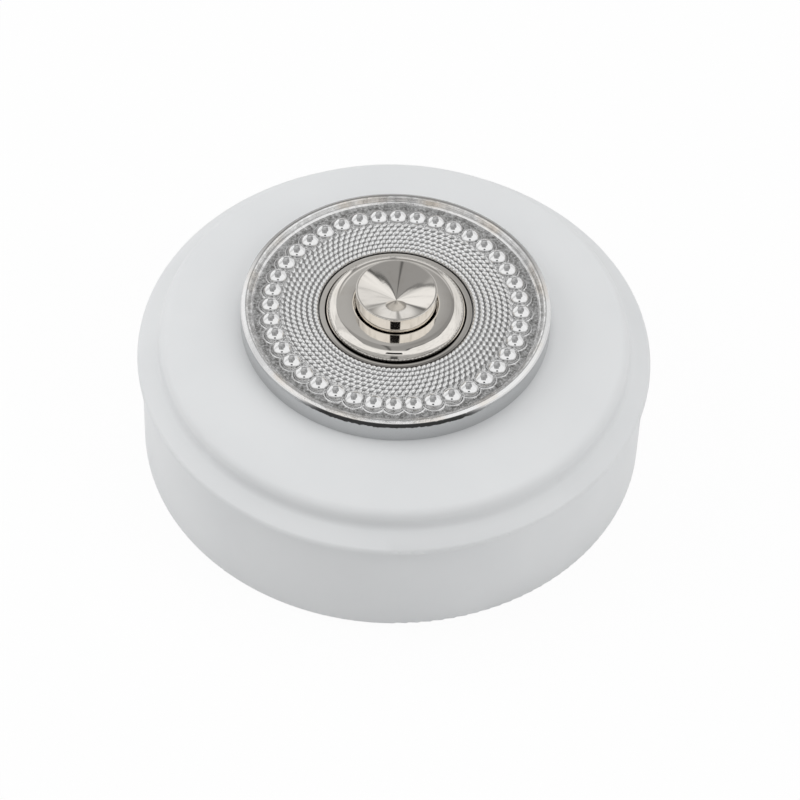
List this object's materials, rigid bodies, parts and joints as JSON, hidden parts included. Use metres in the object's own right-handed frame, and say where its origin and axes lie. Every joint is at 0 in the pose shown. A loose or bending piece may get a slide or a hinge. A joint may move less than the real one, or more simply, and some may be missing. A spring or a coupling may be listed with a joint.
{
  "type": "doorbell push button",
  "caption": "Round wall doorbell push: white two-piece base, beaded chrome rosette and a sprung nickel button with a dished top.",
  "frame": {"origin": "centre of the wall face, on the button's axis", "axes": "+Z along the button's axis, away from the wall; +Y towards the cable entry; X along the row of wall fixings"},
  "size_m": [0.08, 0.08, 0.0329],
  "materials": {
    "porcelain": "satin white",
    "chrome": "cast and chromed",
    "nickel": "turned and nickel plated",
    "steel": "zinc plated",
    "brass": "plain",
    "rubber": "matte",
    "moulding": "matte black"
  },
  "bodies": {
    "base": {"base_drum": "porcelain", "lid": "porcelain", "rosette": "chrome", "bezel_barrel": "nickel", "hex_nut": "steel", "lock_washer": "steel", "return_spring": "steel", "terminal_screws": "steel", "terminal_left": "brass", "terminal_right": "brass", "terminal_clamps": "brass", "seal_ring": "rubber", "cable_grommet": "rubber", "rosette_gasket": "rubber", "switch_base": "moulding"},
    "button": {"push_cap": "nickel", "plunger": "moulding", "retaining_clip": "steel", "contact_bridge": "brass", "bridge_screw": "steel"}
  },
  "joints": [
    {"name": "press", "type": "slide", "parent": "base", "child": "button", "axis": [0, 0, -1], "range_m": [0, 0.0015], "stiffness_N_per_m": 900, "springref_m": -0.002, "deforming": ["return_spring"]}
  ]
}
